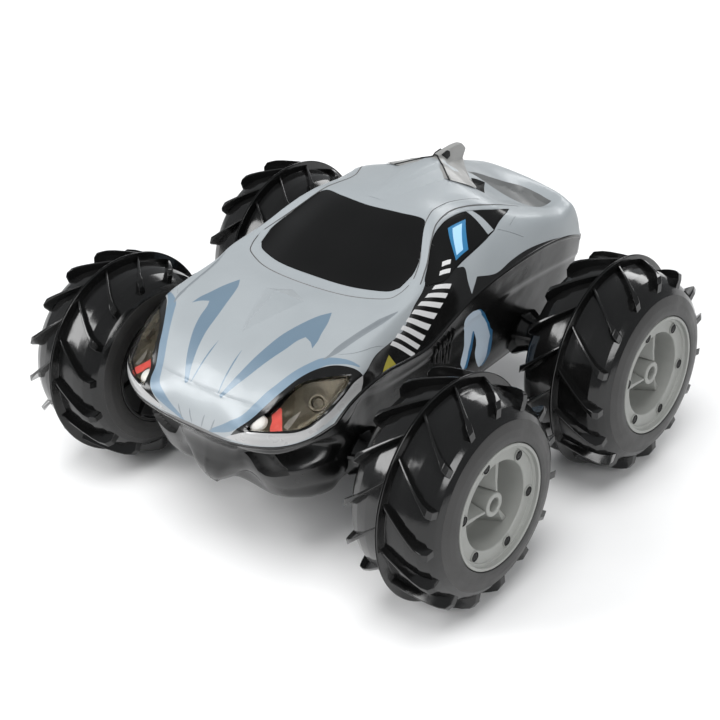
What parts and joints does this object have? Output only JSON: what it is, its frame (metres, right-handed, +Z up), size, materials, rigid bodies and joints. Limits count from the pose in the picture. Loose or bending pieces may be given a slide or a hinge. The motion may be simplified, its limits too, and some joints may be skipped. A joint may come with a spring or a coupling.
{
  "type": "radio-controlled amphibious stunt car",
  "caption": "Toy car with a coupe shell on a boat-like hull and large hollow paddle wheels, geared on each side so that it drives and spins on land and paddles on water.",
  "frame": {"origin": "on the ground, midway between the four wheels' axles and on the car's centre plane", "axes": "+X to the car's left across the wheels, -Y forwards to the nose, +Z up"},
  "size_m": [0.2954, 0.2665, 0.1575],
  "materials": {
    "silver_paint": "silver-grey satin paint over plastic",
    "black_gloss_plastic": "glossy moulded black",
    "dark_window": "high-gloss black",
    "smoked_lens": "smoked clear plastic",
    "lamp_reflector": "vacuum-metallised",
    "tyre_black": "glossy blow-moulded black",
    "rim_grey": "satin warm grey",
    "steel": "bright turned",
    "bronze": "sintered bronze",
    "white_nylon": "natural nylon",
    "battery_wrap": "blue shrink wrap",
    "board_green": "solder mask",
    "seal_rubber": "matte",
    "trim_silver": "bright silver lacquer",
    "lamp_white": "white lamp cap",
    "accent_red": "red accent ring",
    "graphic_blue": "printed blue-grey stripe",
    "graphic_white": "printed white shape"
  },
  "bodies": {
    "chassis": {"upper_shell": "silver_paint", "lower_hull": "black_gloss_plastic", "windscreen": "dark_window", "side_window_left": "dark_window", "side_window_right": "dark_window", "headlight_lens_left": "smoked_lens", "headlight_lens_right": "smoked_lens", "headlight_bowl_left": "lamp_reflector", "headlight_bowl_right": "lamp_reflector", "roof_scoop": "silver_paint", "tail_fin": "silver_paint", "battery_pack": "battery_wrap", "control_board": "board_green", "battery_seal": "seal_rubber", "switch_housing": "black_gloss_plastic", "gearbox_case_left": "white_nylon", "gearbox_case_right": "white_nylon", "motor_left": "steel", "motor_right": "steel", "axle_bush_front_left": "bronze", "axle_bush_rear_left": "bronze", "axle_bush_front_right": "bronze", "axle_bush_rear_right": "bronze"},
    "wheel_front_left": {"tyre_outer_front_left": "tyre_black", "tyre_inner_front_left": "tyre_black", "rim_front_left": "rim_grey", "inner_hub_front_left": "black_gloss_plastic", "axle_shaft_front_left": "steel", "axle_gear_front_left": "white_nylon"},
    "wheel_rear_left": {"tyre_outer_rear_left": "tyre_black", "tyre_inner_rear_left": "tyre_black", "rim_rear_left": "rim_grey", "inner_hub_rear_left": "black_gloss_plastic", "axle_shaft_rear_left": "steel", "axle_gear_rear_left": "white_nylon"},
    "idler_front_left": {"idler_gear_front_left": "white_nylon"},
    "centre_left": {"centre_gear_left": "white_nylon"},
    "idler_rear_left": {"idler_gear_rear_left": "white_nylon"},
    "pinion_left": {"motor_pinion_left": "white_nylon"},
    "wheel_front_right": {"tyre_outer_front_right": "tyre_black", "tyre_inner_front_right": "tyre_black", "rim_front_right": "rim_grey", "inner_hub_front_right": "black_gloss_plastic", "axle_shaft_front_right": "steel", "axle_gear_front_right": "white_nylon"},
    "wheel_rear_right": {"tyre_outer_rear_right": "tyre_black", "tyre_inner_rear_right": "tyre_black", "rim_rear_right": "rim_grey", "inner_hub_rear_right": "black_gloss_plastic", "axle_shaft_rear_right": "steel", "axle_gear_rear_right": "white_nylon"},
    "idler_front_right": {"idler_gear_front_right": "white_nylon"},
    "centre_right": {"centre_gear_right": "white_nylon"},
    "idler_rear_right": {"idler_gear_rear_right": "white_nylon"},
    "pinion_right": {"motor_pinion_right": "white_nylon"},
    "door": {"battery_door": "black_gloss_plastic"},
    "latch": {"door_latch": "rim_grey"},
    "switch": {"power_switch": "seal_rubber"}
  },
  "joints": [
    {"name": "spin_wheel_front_left", "type": "hinge", "parent": "chassis", "child": "wheel_front_left", "pos_m": [0, -0.0715, 0.06], "axis": [1, 0, 0], "continuous": true},
    {"name": "spin_wheel_rear_left", "type": "hinge", "parent": "chassis", "child": "wheel_rear_left", "pos_m": [0, 0.0715, 0.06], "axis": [1, 0, 0], "continuous": true},
    {"name": "spin_idler_front_left", "type": "hinge", "parent": "chassis", "child": "idler_front_left", "pos_m": [0, -0.03978, 0.07223], "axis": [1, 0, 0], "continuous": true},
    {"name": "spin_centre_left", "type": "hinge", "parent": "chassis", "child": "centre_left", "pos_m": [0, 0, 0.068], "axis": [1, 0, 0], "continuous": true},
    {"name": "spin_idler_rear_left", "type": "hinge", "parent": "chassis", "child": "idler_rear_left", "pos_m": [0, 0.03978, 0.07223], "axis": [1, 0, 0], "continuous": true},
    {"name": "spin_pinion_left", "type": "hinge", "parent": "chassis", "child": "pinion_left", "pos_m": [0, 0, 0.094], "axis": [1, 0, 0], "continuous": true},
    {"name": "spin_wheel_front_right", "type": "hinge", "parent": "chassis", "child": "wheel_front_right", "pos_m": [0, -0.0715, 0.06], "axis": [1, 0, 0], "continuous": true},
    {"name": "spin_wheel_rear_right", "type": "hinge", "parent": "chassis", "child": "wheel_rear_right", "pos_m": [0, 0.0715, 0.06], "axis": [1, 0, 0], "continuous": true},
    {"name": "spin_idler_front_right", "type": "hinge", "parent": "chassis", "child": "idler_front_right", "pos_m": [0, -0.03978, 0.07223], "axis": [1, 0, 0], "continuous": true},
    {"name": "spin_centre_right", "type": "hinge", "parent": "chassis", "child": "centre_right", "pos_m": [0, 0, 0.068], "axis": [1, 0, 0], "continuous": true},
    {"name": "spin_idler_rear_right", "type": "hinge", "parent": "chassis", "child": "idler_rear_right", "pos_m": [0, 0.03978, 0.07223], "axis": [1, 0, 0], "continuous": true},
    {"name": "spin_pinion_right", "type": "hinge", "parent": "chassis", "child": "pinion_right", "pos_m": [0, 0, 0.094], "axis": [1, 0, 0], "continuous": true},
    {"name": "door_hinge", "type": "hinge", "parent": "chassis", "child": "door", "pos_m": [0, -0.0335, 0.0422], "axis": [-1, 0, 0], "range_deg": [0, 100]},
    {"name": "latch_turn", "type": "hinge", "parent": "door", "child": "latch", "pos_m": [0, 0.027, 0.0422], "axis": [0, 0, 1], "range_deg": [0, 90]},
    {"name": "switch_slide", "type": "slide", "parent": "chassis", "child": "switch", "axis": [0, 1, 0], "range_m": [0, 0.004]}
  ],
  "couplings": [
    {"joint": "spin_wheel_rear_left", "follows": "spin_wheel_front_left", "ratio": 1},
    {"joint": "spin_idler_front_left", "follows": "spin_wheel_front_left", "ratio": -0.54545},
    {"joint": "spin_centre_left", "follows": "spin_wheel_front_left", "ratio": 0.66667},
    {"joint": "spin_idler_rear_left", "follows": "spin_wheel_front_left", "ratio": -0.54545},
    {"joint": "spin_pinion_left", "follows": "spin_wheel_front_left", "ratio": -1.5},
    {"joint": "spin_wheel_rear_right", "follows": "spin_wheel_front_right", "ratio": 1},
    {"joint": "spin_idler_front_right", "follows": "spin_wheel_front_right", "ratio": -0.54545},
    {"joint": "spin_centre_right", "follows": "spin_wheel_front_right", "ratio": 0.66667},
    {"joint": "spin_idler_rear_right", "follows": "spin_wheel_front_right", "ratio": -0.54545},
    {"joint": "spin_pinion_right", "follows": "spin_wheel_front_right", "ratio": -1.5}
  ]
}
